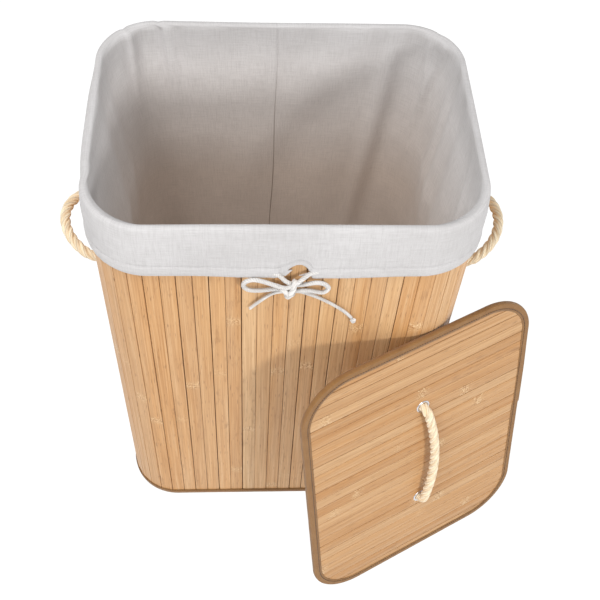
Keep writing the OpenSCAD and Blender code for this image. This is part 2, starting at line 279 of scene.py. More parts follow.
END_SCALE = 0.6


def twisted(name, path, radius, pitch, strands, material, hand=1, sides=12, offset=0.0, full=1.04):
    """A laid rope or cord: tubes that wind round the path, each closed and narrowed at its ends. The radius
    may be one number or one for each point of the path. full above 1 fattens the strands into each other, for
    shallower grooves."""
    radius = np.broadcast_to(radius, len(path))
    run = run_along(path)
    tangent, side, up = path_frames(path)
    strand_r = radius / (1 + 1 / math.sin(math.pi / strands)) * full
    orbit = radius - strand_r
    points, faces, yarn = [], [], []
    for n in range(strands):
        turn = hand * run / pitch * 2 * math.pi + n * 2 * math.pi / strands + offset
        out = side * np.cos(turn)[:, None] + up * np.sin(turn)[:, None]
        across = -side * np.sin(turn)[:, None] + up * np.cos(turn)[:, None]
        lean = hand * 2 * math.pi * orbit / pitch
        centre = path + out * orbit[:, None]
        base = len(points)
        for i in range(len(path)):
            scale = 1.0 if 0 < i < len(path) - 1 else END_SCALE
            b = across[i] - tangent[i] * lean[i]
            b /= np.linalg.norm(b)
            for k in range(sides):
                a = 2 * math.pi * k / sides
                points.append(centre[i] + strand_r[i] * scale * (out[i] * math.cos(a) + b * math.sin(a)))
                yarn.append((a / (2 * math.pi), run[i], n + offset))
        faces += capped_faces(len(path), sides, base)
    return add_mesh(name, points, faces, material, attributes={"yarn": yarn})


# ---------------------------------------------------------------- materials

class Shader:
    """A principled material with a few short calls to wire procedural nodes."""

    def __init__(self, name, roughness, colour=(0.8, 0.8, 0.8), **fixed):
        self.material = bpy.data.materials.new(name)
        self.material.use_nodes = True
        self.tree = self.material.node_tree
        self.surface = self.tree.nodes["Principled BSDF"]
        self.surface.inputs["Base Color"].default_value = (*colour, 1)
        self.surface.inputs["Roughness"].default_value = roughness
        for key, value in fixed.items():
            self.surface.inputs[key.replace("_", " ")].default_value = value

    def put(self, socket, value):
        if isinstance(value, bpy.types.NodeSocket):
            self.tree.links.new(value, socket)
        elif isinstance(value, (tuple, list)) and len(value) == 3 and socket.type == "RGBA":
            socket.default_value = (*value, 1)
        else:
            socket.default_value = value

    def node(self, kind, *values, **settings):
        """A new node with its settings, and its inputs filled in their order."""
        node = self.tree.nodes.new("ShaderNode" + kind)
        for key, value in settings.items():
            setattr(node, key, value)
        for socket, value in zip(node.inputs, values):
            self.put(socket, value)
        return node

    def attribute(self, name):
        return self.node("Attribute", attribute_name=name).outputs["Vector"]

    def math(self, kind, a, b=0.0, c=0.0):
        return self.node("Math", a, b, c, operation=kind).outputs[0]

    def times(self, a, b):
        return self.math("MULTIPLY", a, b)

    def plus(self, a, b):
        return self.math("ADD", a, b)

    def minus(self, a, b):
        return self.math("SUBTRACT", a, b)

    def split(self, vector):
        return self.node("SeparateXYZ", vector).outputs

    def place(self, scale):
        """The place on the object, with each axis multiplied."""
        place = self.node("TexCoord").outputs["Object"]
        return self.node("VectorMath", place, scale, operation="MULTIPLY").outputs[0]

    def flat(self, across, along, shift=0.0):
        """A place on a flat surface, from a pair of (value, multiplier) for each way across it."""
        return self.node("CombineXYZ", self.times(*across), self.times(*along), shift).outputs[0]

    def noise(self, vector, detail=2.0, rough=0.5):
        node = self.node("TexNoise", vector)
        for key, value in (("Scale", 1.0), ("Detail", detail), ("Roughness", rough), ("Distortion", 0.0)):
            node.inputs[key].default_value = value
        return node.outputs["Fac"]

    def wave(self, value, turns):
        """From 0 to 1 and back, turns times for each unit of the value."""
        swing = self.math("SINE", self.times(value, turns * 2 * math.pi))
        return self.math("MULTIPLY_ADD", swing, 0.5, 0.5)

    def ramp(self, value, low, high, to_low=0.0, to_high=1.0):
        return self.node("MapRange", value, low, high, to_low, to_high).outputs[0]

    def mix(self, factor, a, b, kind="MIX"):
        node = self.node("Mix", factor, data_type="RGBA", blend_type=kind)
        self.put(node.inputs[6], a)
        self.put(node.inputs[7], b)
        return node.outputs[2]

    def colour(self, value):
        self.put(self.surface.inputs["Base Color"], value)

    def roughness(self, value):
        self.put(self.surface.inputs["Roughness"], value)

    def bump(self, height, distance, strength=1.0):
        node = self.node("Bump")
        node.inputs["Strength"].default_value = strength
        node.inputs["Distance"].default_value = distance
        self.put(node.inputs["Height"], height)
        self.put(self.surface.inputs["Normal"], node.outputs[0])


def srgb(r, g, b):
    """A colour given as it looks on a screen, from 0 to 255, as the light it reflects."""
    return tuple(c / 12.92 if c <= 0.04045 else ((c + 0.055) / 1.055) ** 2.4
                 for c in (r / 255, g / 255, b / 255))


def bamboo_material(name, reflectance_and_painted_shade):
    """Split bamboo: a shade of its own for each strip, fine lengthwise fibres and pale, speckled nodes.

    strip holds the place across a slat, the place along it and the slat's own number. knots holds the heights
    of two of its nodes and how strongly they show. tint holds its shade, its warmth and how blotched it is.
    The last argument scales the whole colour: the share of light that this bamboo gives back, set lower in a
    copy as painted shade for a face that takes more of the lamps' light."""
    m = Shader(name, 0.45, Specular_IOR_Level=0.3)
    across, along, number = m.split(m.attribute("strip"))
    first, second, strength = m.split(m.attribute("knots"))
    shade, warmth, dirt = m.split(m.attribute("tint"))
    seed = m.times(number, 7.31)

    def grain(per_metre_across, per_metre_along, shift=0.0, **kind):
        place = m.flat((across, per_metre_across), (along, per_metre_along), m.plus(seed, shift))
        return m.noise(place, **kind)

    fibre = grain(620, 7, detail=3, rough=0.65)
    fine = grain(1900, 16, 1.3, detail=2)
    broad = grain(110, 3, 2.1, detail=2)
    wood = m.mix(shade, srgb(222, 182, 134), srgb(194, 143, 90))
    wood = m.mix(m.times(warmth, 0.45), wood, srgb(204, 143, 76))
    # Short dark dashes, where a vessel of the cane is cut open
    dash = grain(1300, 60, 4.4, detail=0)
    for pattern, low, high, most, colour in (
            (broad, 0.35, 0.7, 0.4, (216, 182, 142)), (fibre, 0.42, 0.72, 0.5, (158, 106, 60)),
            (fibre, 0.42, 0.28, 0.4, (226, 194, 152)), (fine, 0.5, 0.75, 0.38, (150, 100, 56)),
            (dash, 0.73, 0.82, 0.6, (112, 70, 36))):
        wood = m.mix(m.ramp(pattern, low, high, 0, most), wood, srgb(*colour))
    # Nodes: a ragged pale band of small speckles
    ragged = m.times(m.minus(grain(240, 0, 9.0, detail=3, rough=0.7), 0.5), 0.018)
    place = m.plus(along, ragged)
    near = m.math("MINIMUM", m.math("ABSOLUTE", m.minus(place, first)),
                  m.math("ABSOLUTE", m.minus(place, second)))
    band = m.times(m.ramp(near, 0.002, 0.011, 1, 0), strength)
    speckle = grain(520, 420, 6.0, detail=3, rough=0.8)
    wood = m.mix(m.times(band, m.ramp(speckle, 0.5, 0.58, 0, 0.75)), wood, srgb(240, 212, 168))
    wood = m.mix(m.times(band, m.ramp(speckle, 0.46, 0.38, 0, 0.8)), wood, srgb(142, 92, 48))
    blotch = grain(90, 22, 3.7, detail=4, rough=0.7)
    wood = m.mix(m.times(m.ramp(blotch, 0.58, 0.76, 0, 0.7), dirt), wood, srgb(118, 76, 42))
    # Painted shade: the whole colour is scaled down, more in the lid's copy, whose face takes more of the
    # lamps' light
    m.colour(m.mix(1.0, wood, (reflectance_and_painted_shade, reflectance_and_painted_shade, reflectance_and_painted_shade), "MULTIPLY"))
    m.roughness(m.ramp(fibre, 0.3, 0.8, 0.38, 0.58))
    m.bump(m.plus(m.times(fibre, 0.7), m.times(m.times(band, speckle), 0.5)), 0.0003, 0.6)
    return m.material


THREAD = 0.0007
# Painted shade and glow for the cloth inside the basket: a warm multiplier for its colour and an emission
# strength
INSIDE_PAINTED_SHADE = (0.88, 0.75, 0.64)
INSIDE_PAINTED_GLOW = 0.165


def cloth_material(name, colour, shade):
    """Plain woven cotton and linen. weave holds the place across and along the cloth, in metres. tone holds
    how far down inside the basket it is, from 0 to 1, for the painted shade and glow inside; the distance to
    the back's seam; and 1 close to it."""
    m = Shader(name, 0.92, Sheen_Weight=0.15, Sheen_Roughness=0.6, Specular_IOR_Level=0.12)
    across, along, _ = m.split(m.attribute("weave"))
    warp = m.noise(m.flat((across, 750), (along, 40)), detail=3, rough=0.7)
    weft = m.noise(m.flat((across, 40), (along, 750), 5.0), detail=3, rough=0.7)
    threads = m.times(m.wave(across, 1 / THREAD), m.wave(along, 1 / THREAD))
    slubs = m.times(m.plus(m.ramp(warp, 0.42, 0.70), m.ramp(weft, 0.42, 0.70)), 0.5)
    patch = m.noise(m.flat((across, 12), (along, 12), 2.0), detail=3)
    base = m.mix(m.ramp(patch, 0.3, 0.7, 0, 0.35), colour, shade)
    base = m.mix(m.times(slubs, 0.75), base, shade)
    base = m.mix(m.ramp(threads, 0.0, 0.35, 0.22, 0), base, shade)
    # Painted shade and painted light: the deeper inside the basket, the more the colour is multiplied towards
    # a warm shade and the more the cloth glows, standing in for light that comes through the basket's wall
    # and off the bamboo
    depth, from_seam, at_seam = m.split(m.attribute("tone"))
    base = m.mix(depth, base, m.mix(1.0, base, INSIDE_PAINTED_SHADE, "MULTIPLY"))
    # A dark line along the back's seam: partly the seam's own line, partly painted shade in its crease, since
    # it shows only inside and darkens the deeper it is
    seam = m.times(m.ramp(m.math("ABSOLUTE", from_seam), 0.0002, 0.0009, 1, 0), at_seam)
    base = m.mix(m.times(m.times(seam, depth), 0.75), base, srgb(112, 94, 80))
    m.colour(base)
    # Painted light: the cloth inside glows, more the deeper it is, though it is no lamp
    m.put(m.surface.inputs["Emission Color"], base)
    m.put(m.surface.inputs["Emission Strength"], m.ramp(depth, 0.0, 0.12, 0.0, INSIDE_PAINTED_GLOW))
    height = m.plus(m.times(threads, 0.5), slubs)
    flap = m.times(m.ramp(from_seam, -0.0004, 0.0004, 0, 2.5), at_seam)
    m.bump(m.plus(height, m.minus(flap, m.times(seam, 1.5))), 0.00025, 0.8)
    return m.material


def tape_material():
    """Brown twill tape; weave holds the place along the tape and across it."""
    m = Shader("binding_tape", 0.85, Sheen_Weight=0.2, Specular_IOR_Level=0.2)
    along, across, _ = m.split(m.attribute("weave"))
    twill = m.wave(m.plus(along, across), 1 / 0.0011)
    rib = m.wave(m.minus(along, across), 1 / 0.0007)
    worn = m.noise(m.flat((along, 60), (across, 60)), detail=4, rough=0.65)
    base = m.mix(m.ramp(worn, 0.3, 0.75), srgb(154, 114, 68), srgb(136, 96, 54))
    base = m.mix(m.times(twill, 0.35), base, srgb(104, 70, 40))
    m.colour(base)
    m.bump(m.plus(m.times(twill, 0.7), m.times(rib, 0.3)), 0.0003, 0.7)
    return m.material


def yarn_material(name, colour, shade, plies):
    """Twisted cotton: fine fibres along each strand, fuzzy and soft. yarn holds turn, length and strand."""
    m = Shader(name, 0.9, Sheen_Weight=0.35, Sheen_Roughness=0.5, Specular_IOR_Level=0.15)
    turn, run, strand = m.split(m.attribute("yarn"))
    lay = m.plus(m.times(turn, plies), m.times(run, 40))
    ply = m.wave(lay, 1.0)
    fuzz = m.noise(m.flat((lay, 2.2), (run, 160), strand), detail=3, rough=0.65)
    # Painted shade: the colour darkens towards the shade colour in the grooves between plies; the fuzz on the
    # next line is the fibres' own patchy tone
    base = m.mix(m.ramp(ply, 0.0, 0.5, 0.45, 0), colour, shade)
    base = m.mix(m.ramp(fuzz, 0.45, 0.8, 0, 0.5), base, shade)
    m.colour(base)
    m.bump(m.plus(ply, fuzz), 0.00035, 0.8)
    return m.material


def metal_material(name, colour, roughness):
    m = Shader(name, roughness, colour, Metallic=1.0)
    scuff = m.noise(m.place((700, 700, 700)), detail=4, rough=0.7)
    m.roughness(m.ramp(scuff, 0.35, 0.75, roughness, roughness + 0.16))
    m.bump(scuff, 0.00003, 0.3)
    return m.material


def plain_cloth_material(name, colour, shade):
    """Cloth for the flat pieces that the CAD makes, woven by its place in the frame."""
    m = Shader(name, 0.95, Sheen_Weight=0.15, Specular_IOR_Level=0.1)
    a = m.noise(m.place((1200, 1200, 60)), detail=2)
    b = m.noise(m.place((60, 60, 1200)), detail=2)
    threads = m.times(m.plus(a, b), 0.5)
    m.colour(m.mix(m.ramp(threads, 0.38, 0.62), colour, shade))
    m.bump(threads, 0.0003, 0.6)
    return m.material


def board_material():
    m = Shader("board", 0.7, Specular_IOR_Level=0.3)
    chips = m.noise(m.place((300, 300, 300)), detail=4, rough=0.7)
    m.colour(m.mix(m.ramp(chips, 0.35, 0.7), srgb(150, 118, 84), srgb(112, 82, 54)))
    m.bump(chips, 0.0002, 0.5)
    return m.material


BAMBOO = bamboo_material("bamboo", 0.94)
# A darker copy for the lid: painted shade on a face that takes more of the lamps' light
LID_BAMBOO_PAINTED_SHADE = bamboo_material("lid_bamboo_painted_shade", 0.84)
LINER = cloth_material("liner_cloth", srgb(206, 204, 204), srgb(170, 167, 166))
TAPE = tape_material()
STITCH = yarn_material("stitch_thread", srgb(82, 54, 30), srgb(52, 34, 18), 2)
SEW = yarn_material("white_thread", srgb(236, 233, 226), srgb(190, 184, 175), 2)
ROPE = yarn_material("rope_cotton", srgb(243, 227, 198), srgb(198, 168, 126), 3)
TIE = yarn_material("tie_cotton", srgb(224, 221, 218), srgb(186, 181, 175), 3)
EYELET = metal_material("eyelet_metal", srgb(222, 222, 226), 0.16)
ROD = metal_material("rod_metal", srgb(186, 186, 190), 0.32)
# Dark brown backing: partly the cloth's own brown, partly painted shade that makes the gaps between slats
# read dark; the top and base edge bindings share it
BACKING_AND_GAP_SHADE = plain_cloth_material("backing_cloth_gap_shade", srgb(120, 88, 58), srgb(92, 64, 40))
COVER = plain_cloth_material("cover_cloth", srgb(212, 190, 158), srgb(176, 150, 116))
BOARD = board_material()


# ---------------------------------------------------------------- cords and ropes

def mm(points):
    return [Vector(p) / 1000 for p in points]


LEFT_TIE = mm([
    (-14, -153.9, 525), (-7, -155, 521), (-1, -157, 515), (6, -157, 510), (13, -157, 509),
    (21, -157.4, 511), (30, -157.4, 513), (38, -157.4, 511), (43, -157, 504), (40, -156, 496),
    (34, -156, 495), (25, -157, 499), (15, -159, 502), (5, -160, 502), (-4, -157, 498),
    (-14, -154, 490), (-25, -153.6, 478), (-37, -153.6, 463)])
RIGHT_TIE = mm([
    (32, -153.9, 527), (24, -155, 525), (16, -158, 520), (8, -160.5, 513), (-1, -161, 509),
    (-12, -159.6, 512), (-24, -158, 516), (-34, -157.4, 518), (-42, -157.4, 514),
    (-43, -157, 506), (-37, -156, 499), (-26, -155, 497), (-14, -155, 499), (-3, -156, 501),
    (8, -156, 499), (20, -154.4, 492), (36, -153.6, 481), (52, -153.6, 468), (64, -153.6, 456),
    (72, -153.7, 445)])
KNOT_WRAP = mm([
    (7, -155, 511), (8.6, -157.8, 515.5), (8, -161, 514.5), (6.4, -162.8, 508), (4.2, -163, 501),
    (2, -161.6, 495.5), (1, -158.5, 493), (1.5, -155.5, 494.5)])
KNOT_LUMP = mm([
    (-5, -155.5, 501), (-4.6, -159.4, 505), (-1.5, -162, 505), (2, -162.6, 500), (4.5, -161, 496.5),
    (7.5, -157, 496)])
TAIL_END = Vector((0.074, -0.1549, 0.4415))


def tie_swell(count):
    """The cord is drawn out thin towards its tail, and fuller in the loop."""
    t = np.linspace(0, 1, count)
    return 1.15 - 0.28 / (1 + np.exp(-(t - 0.7) / 0.03))


def build_ties():
    wrap = twisted("bow_wrap", smooth_curve(KNOT_WRAP, TIE_STEP), KNOT_R, 0.03, 3, TIE, full=1.3)
    lump = twisted("bow_lump", smooth_curve(KNOT_LUMP, TIE_STEP), KNOT_R, 0.03, 3, TIE, offset=1.0, full=1.3)
    end_ring = [TAIL_END + Vector((math.cos(a), 0, math.sin(a))) * 0.0015
                for a in np.linspace(0, 1.9 * math.pi, 24)]
    end = twisted("tail_end_knot", resample(end_ring, 0.0006), 0.0021, 0.012, 3, TIE, sides=10)
    belongs(wrap, "liner", "drawstring", "bow_knot")
    belongs(lump, "liner", "drawstring")
    belongs(end, "liner", "drawstring", "tail_knot")
    for side, route, far_end, knots in (("left", LEFT_TIE, "bare", [wrap, lump]),
                                        ("right", RIGHT_TIE, "knot", [end])):
        path = smooth_curve(route, TIE_STEP)
        tie = twisted(f"tie_{side}_cord", path, TIE_D / 2 * tie_swell(len(path)), 0.0095, 4, TIE, sides=10)
        belongs(tie, "liner", "drawstring", f"tie_{side}")
        tuple(route[0])
        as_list(knots)


def handle_path(span, bow, share, depths, place, stub):
    """A rope handle from one eyelet to the other. place(out, along) is a point of the bow, and
    stub(height, along) one on the straight through an eyelet. share is how much of the bow is an arc, and
    depths the heights of the straight's points."""
    bend = (span * span / 4 + bow * bow) / (2 * bow)
    half_turn = math.asin(span / 2 / bend) * share
    arc = [place(bow - bend + bend * math.cos(a), bend * math.sin(a))
           for a in np.linspace(-half_turn, half_turn, 40)]
    near = [stub(h, -span / 2) for h in depths]
    far = [stub(h, span / 2) for h in reversed(depths)]
    return smooth_curve(near + arc + far, 0.0018)


def handle_rope(name, path, exit_point, start, end, hand):
    """The rope of one handle, laid along its path. start and end, its ends on body and on the handle's own
    body, are not used.
    """
    rope = twisted(f"{name}_handle_rope", path, ROPE_R, ROPE_PITCH, 4, ROPE, hand=hand, sides=18, full=1.10)
    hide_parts(f"{name}_rope", f"{name}_rope_knots")
    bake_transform(rope)


def stopper_knot(name, centre, normal, side, body, hand):
    """The knot behind an eyelet: one full turn of the rope, drawn tight round itself."""
    up = normal.cross(side)
    ring = ROPE_R + 0.0004
    path = [centre + (side * math.cos(a) + up * math.sin(a)) * ring + normal * 0.0012 * math.sin(2 * a)
            for a in np.linspace(0, 1.93 * math.pi, 60)]
    belongs(twisted(name, resample(path, 0.0016), ROPE_R, 0.030, 3, ROPE, hand=hand), body, "rope")


def build_side_rope(name, side, span, bow, rise, hand):
    hinge = SIDE_HINGE_X - HALF_W

    def stub(height, along):
        return Vector((side * (HALF_W + height), SIDE_Y + along, SIDE_Z))

    def place(out, along):
        return stub(hinge + out * math.cos(rise), along) + Vector((0, 0, out * math.sin(rise)))

    path = handle_path(span, bow, 0.86, SIDE_STRAIGHT, place, stub)
    handle_rope(name, path, stub(0, -span / 2), stub(0.001, 0), stub(hinge + 0.002, 0), hand)
    for along, tag in ((-1, "front"), (1, "back")):
        centre = stub(SIDE_STOPPER, along * span / 2)
        stopper_knot(f"{name}_{tag}_stopper", centre, Vector((side, 0, 0)), Vector((0, 1, 0)), "hamper", hand)


def build_lid_rope():
    def stub(height, along):
        return lid_point(LID_EYELET_X, LID_LEN / 2 + along, height)

    def place(out, along):
        return stub(LID_HINGE_Z + out * math.cos(LID_FLOP), along) + LID_ACROSS * (out * math.sin(LID_FLOP))

    path = handle_path(LID_SPAN, LID_BOW, 0.95, LID_STRAIGHT, place, stub)
    handle_rope("lid", path, stub(0, -LID_SPAN / 2), stub(0.001, 0), stub(0.0085, 0), 1)
    for along, tag in ((-1, "lower"), (1, "upper")):
        stopper_knot(f"lid_{tag}_stopper", stub(LID_STOPPER, along * LID_SPAN / 2), LID_OUT, LID_UP, "lid", 1)


build_ties()
build_side_rope("left", -1, LEFT_SPAN, LEFT_BOW, LEFT_RISE, 1)
build_side_rope("right", 1, RIGHT_SPAN, RIGHT_BOW, RIGHT_RISE, -1)
build_lid_rope()


# ---------------------------------------------------------------- slats

# A slat's section as (place across, from -1 to 1; height above its face, in its own thicknesses)
SLAT_PROFILE = [
    (-1, -1.0), (-1, -0.30), (-0.985, -0.12), (-0.95, -0.03), (-0.86, 0.0), (-0.5, 0.05), (0, 0.07),
    (0.5, 0.05), (0.86, 0.0), (0.95, -0.03), (0.985, -0.12), (1, -0.30), (1, -1.0)]


def slat_nodes(rng, length, spacing):
    """The heights of the cane's two nodes that fall on a slat, and how strongly they show."""
    first = rng.uniform(-0.25, 1.0) * spacing
    return first, first + spacing * rng.uniform(0.9, 1.15), rng.choice((0.0, 0.35, 0.8, 1.0))


def slat_rows(nodes, length):
    """Places along a slat that need a ring: an even run, with more round each node."""
    rows = set(np.round(np.linspace(0, length, int(length / 0.03)), 5))
    for n in nodes:
        for d in (-0.005, -0.0025, -0.001, 0, 0.001, 0.0025, 0.005):
            if 0.002 < n + d < length - 0.002:
                rows.add(round(n + d, 5))
    return sorted(rows)


class SlatMesh:
    """Collects slats into one mesh, with the attributes that the bamboo material reads."""

    def __init__(self):
        self.points, self.faces, self.strip, self.knots, self.tint = [], [], [], [], []

    def add(self, place, width, thick, length, number, rng, shades, spacing=0.34, ends=None):
        """place(across, along, out) gives a point, and shades the range of its shade, from pale to dark.
        ends(across) gives the half length there, for a slat whose ends follow a curve."""
        first, second, strength = slat_nodes(rng, length, spacing)
        tint = (rng.uniform(*shades), rng.random(), rng.choice((0, 0, 0, 0.7)))
        rows = slat_rows((first, second), length)
        crook = rng.uniform(-1, 1) * 0.00012
        phase = rng.uniform(0, 6.28)
        base = len(self.points)
        for along in rows:
            near = min(abs(along - first), abs(along - second))
            ridge = 0.00008 * strength * math.exp(-(near / 0.0025) ** 2)
            sway = crook * math.sin(along * 14 + phase)
            for u, v in SLAT_PROFILE:
                across = u * width / 2 + sway
                out = v * thick + (ridge if abs(u) < 0.97 else 0)
                reach = along
                if ends:
                    half = ends(u * width / 2)
                    reach = (along / length * 2 - 1) * half + length / 2
                self.points.append(place(across, reach, out))
                self.strip.append((across, reach, number))
                self.knots.append((first, second, strength))
                self.tint.append(tint)
        self.faces += capped_faces(len(rows), len(SLAT_PROFILE), base)

    def build(self, name, material):
        attributes = {"strip": self.strip, "knots": self.knots, "tint": self.tint}
        return add_mesh(name, self.points, self.faces, material, False, attributes)


def slat_middle(k):
    return (STRAIGHT_X + SLAT_SHIFT + (k + 0.5) * PITCH) % PERIMETER


def slat_group(s):
    """The wall that a place on the outline belongs to, and whether it is in the corner after it."""
    wall = max(i for i in range(4) if s >= wall_start(i))
    return wall, s - wall_start(wall) >= SIDES[wall]


def slat_edges(count, pitch, rng, wraps):
    """Where each slat really lies in its pitch, as (shift of its middle, width): no two gaps are alike."""
    joins = [(rng.uniform(-1, 1) * 0.00022, rng.choice((0.00025, 0.00045, 0.0007, 0.0009)))
             for _ in range(count + 1)]
    if wraps:
        joins[-1] = joins[0]
    edges = []
    for (low, low_gap), (high, high_gap) in zip(joins, joins[1:]):
        left, right = low + low_gap / 2, pitch + high - high_gap / 2
        edges.append(((left + right - pitch) / 2, right - left))
    return edges


def build_wall_slats():
    rng = random.Random(41)
    edges = slat_edges(SLAT_COUNT, PITCH, rng, True)
    walls = ["front", "right", "back", "left"]
    corners = ["front_right", "back_right", "back_left", "front_left"]
    meshes = {}
    length = WALL_TOP - SLAT_Z0
    for k in range(SLAT_COUNT):
        s = slat_middle(k)
        wall, corner = slat_group(s)
        x, y, nx, ny = (float(v) for v in outline(s))
        tangent = Vector((-ny, nx, 0))
        normal = Vector((nx, ny, 0))
        shift, width = edges[k]
        middle = Vector((x, y, SLAT_Z0)) + tangent * shift

        def place(across, along, out):
            return middle + tangent * across + normal * out + Vector((0, 0, along))

        node = f"{corners[wall]}_corner_slats" if corner else f"{walls[wall]}_slats"
        meshes.setdefault(node, SlatMesh()).add(place, width, SLAT_T, length, k, rng, (0.0, 0.75))
    for node, collected in meshes.items():
        belongs(collected.build(f"bamboo_{node}", BAMBOO), "hamper", "bamboo", node)


def build_lid_slats():
    rng = random.Random(73)
    collected = SlatMesh()
    inset = 0.0012
    step = (LID_LEN - 0.002) / LID_SLATS
    half_w = LID_WIDTH / 2 - inset
    r = LID_R - inset
    edges = slat_edges(LID_SLATS, step, rng, False)

    def reach(y):
        """Half the lid's width at a height on it."""
        over = abs(y - LID_LEN / 2) - (LID_LEN / 2 - inset - r)
        return half_w if over <= 0 else half_w - r + math.sqrt(max(r * r - over * over, 1e-9))

    for k in range(LID_SLATS):
        shift, width = edges[k]
        centre = 0.001 + (k + 0.5) * step + shift

        def place(across, along, out):
            return lid_point(along - LID_WIDTH / 2, centre - across, out)

        # The lid's slats take a darker range of shades than the walls': partly their own random tone, partly
        # painted shade on a face that takes more light
        collected.add(place, width, LID_SLAT_T, LID_WIDTH, 200 + k, rng, (0.2, 1.0),
                      ends=lambda across: reach(centre - across))
    belongs(collected.build("bamboo_lid_slats", LID_BAMBOO_PAINTED_SHADE), "lid", "bamboo", "lid_slats")


build_wall_slats()
build_lid_slats()


# ---------------------------------------------------------------- bindings

def sweep_tape(name, loop, profile, body, node, seed):
    """A tape folded over an edge. loop is a list of (point, outward, up) round the edge, and profile the
    tape's cross-section as (outward, up) pairs, closed."""
    rng = np.random.default_rng(seed)
    count = len(loop)
    waver = np.convolve(rng.normal(0, 1, count * 3), np.ones(9) / 9, "same")[count:2 * count]
    points, weave = [], []
    run = 0.0
    reach = run_along(profile)
    for i, (p, out, up) in enumerate(loop):
        run += (p - loop[i - 1][0]).length if i else 0
        for k, (u, v) in enumerate(profile):
            points.append(p + out * (u + 0.00015 * waver[i]) + up * v)
            weave.append((run, reach[k], 0))
    faces = grid_faces(count, len(profile), wrap_rows=True, wrap_columns=True)
    belongs(add_mesh(name, points, faces, TAPE, attributes={"weave": weave}), body, "binding", node)


def u_profile(depth, low, high, thick, rounding=5):
    """A tape's section: from its lower leg's inner edge, out round the fold and back on its upper leg."""
    middle = (low + high) / 2
    radius = (high - low) / 2
    squash = 0.0012
    outer, inner = [], []
    for k in range(rounding * 2 + 1):
        a = -math.pi / 2 + math.pi * k / (rounding * 2)
        outer.append((-squash + squash * math.cos(a), middle + radius * math.sin(a)))
        inner.append((-squash + (squash - thick) * math.cos(a), middle + (radius - thick) * math.sin(a)))
    legs = 4
    low_leg = [(-depth + (depth - squash) * k / legs, low) for k in range(legs)]
    high_leg = [(-squash - (depth - squash) * (k + 1) / legs, high) for k in range(legs)]
    return low_leg + outer + high_leg + [(-depth, high - thick)] + inner[::-1] + [(-depth, low + thick)]


def stitches(name, places, length, radius, material, body, slot):
    """Short raised stitches. places is a list of (middle, along, up)."""
    points, faces, yarn = [], [], []
    sides = 6
    shape = [(-0.5, 0.25), (-0.4, 0.8), (-0.15, 1.0), (0.15, 1.0), (0.4, 0.8), (0.5, 0.25)]
    for n, (middle, along, up) in enumerate(places):
        across = along.cross(up)
        base = len(points)
        for t, scale in shape:
            for k in range(sides):
                a = 2 * math.pi * k / sides
                points.append(middle + along * (t * length) + (across * math.cos(a) + up * math.sin(a) * 0.7)
                              * radius * scale)
                yarn.append((k / sides, t * length, n))
        faces += capped_faces(len(shape), sides, base)
    belongs(add_mesh(name, points, faces, material, attributes={"yarn": yarn}), body, slot)


def lid_loop(inset, count):
    """Places round the lid's edge, moved in by a distance."""
    half_w, half_l, r = LID_WIDTH / 2, LID_LEN / 2, LID_R
    corners = [(1, -1), (1, 1), (-1, 1), (-1, -1)]
    straights = [2 * (half_w - r), 2 * (half_l - r)] * 2
    total = sum(straights) + 2 * math.pi * r
    loop = []
    for n in range(count):
        s = total * n / count
        for i in range(4):
            span = straights[i] + math.pi * r / 2
            if s < span or i == 3:
                break
            s -= span
        bend = min(max((s - straights[i]) / (math.pi * r / 2), 0), 1) * math.pi / 2
        heading = math.pi / 2 * i
        back = min(s - straights[i], 0)
        cx, cy = corners[i][0] * (half_w - r), corners[i][1] * (half_l - r)
        nx, ny = math.sin(heading + bend), -math.cos(heading + bend)
        x = cx + math.cos(heading) * back + (r - inset) * nx
        y = cy + math.sin(heading) * back + (r - inset) * ny
        out = LID_ACROSS * nx + LID_UP * ny
        loop.append((lid_point(x, LID_LEN / 2 + y, 0), out, LID_OUT))
    return loop


def along_loop(loop, i):
    step = loop[(i + 1) % len(loop)][0] - loop[i - 1][0]
    return step.normalized()


def tape_overlap(point):
    """How far the tape stands out where its end laps over its start, part way up the lid's right side."""
    height = (point - LID_FOOT).dot(LID_UP)
    if (point - LID_FOOT).dot(LID_ACROSS) < 0 or not 0.214 < height < 0.34:
        return 0.0
    return 0.0014 * min(1.0, (0.34 - height) / 0.06)


def build_lid_binding():
    loop = [(p + out * tape_overlap(p), out, up) for p, out, up in lid_loop(0, 700)]
    sweep_tape("lid_edge_tape", loop, u_profile(0.0105, LID_BACK, 0.0006, 0.0006), "lid", "lid_binding", 5)
    seam = lid_loop(0.0074, 400)
    for face, height, way in (("front", 0.0008, 1), ("back", LID_BACK - 0.0001, -1)):
        places = [(p + up * height, along_loop(seam, i), up * way) for i, (p, out, up) in enumerate(seam)]
        stitches(f"lid_{face}_stitches", places, 0.0024, 0.0005, STITCH, "lid", "binding")


def wall_loop(out, z, count):
    loop = []
    for n in range(count):
        place = outline(PERIMETER * n / count, HALF_W + out, HALF_D + out, CORNER_R + out)
        x, y, nx, ny = (float(v) for v in place)
        loop.append((Vector((x, y, z)), Vector((nx, ny, 0)), Vector((0, 0, 1))))
    return loop


def channel_profile(outer, inner, top, thick):
    """An open-topped U round the wall's bottom edge, as (outward, up) pairs from the outer leg's top."""
    bow = 0.0012
    points = [(outer - thick, top), (outer, top), (outer + 0.0001, top * 0.5), (outer, bow),
              (outer - bow * 0.3, bow * 0.3), (outer - bow, 0), (inner + bow, 0),
              (inner + bow * 0.3, bow * 0.3), (inner, bow), (inner, top),
              (inner + thick, top), (inner + thick, thick), (outer - thick, thick)]
    return points[::-1]


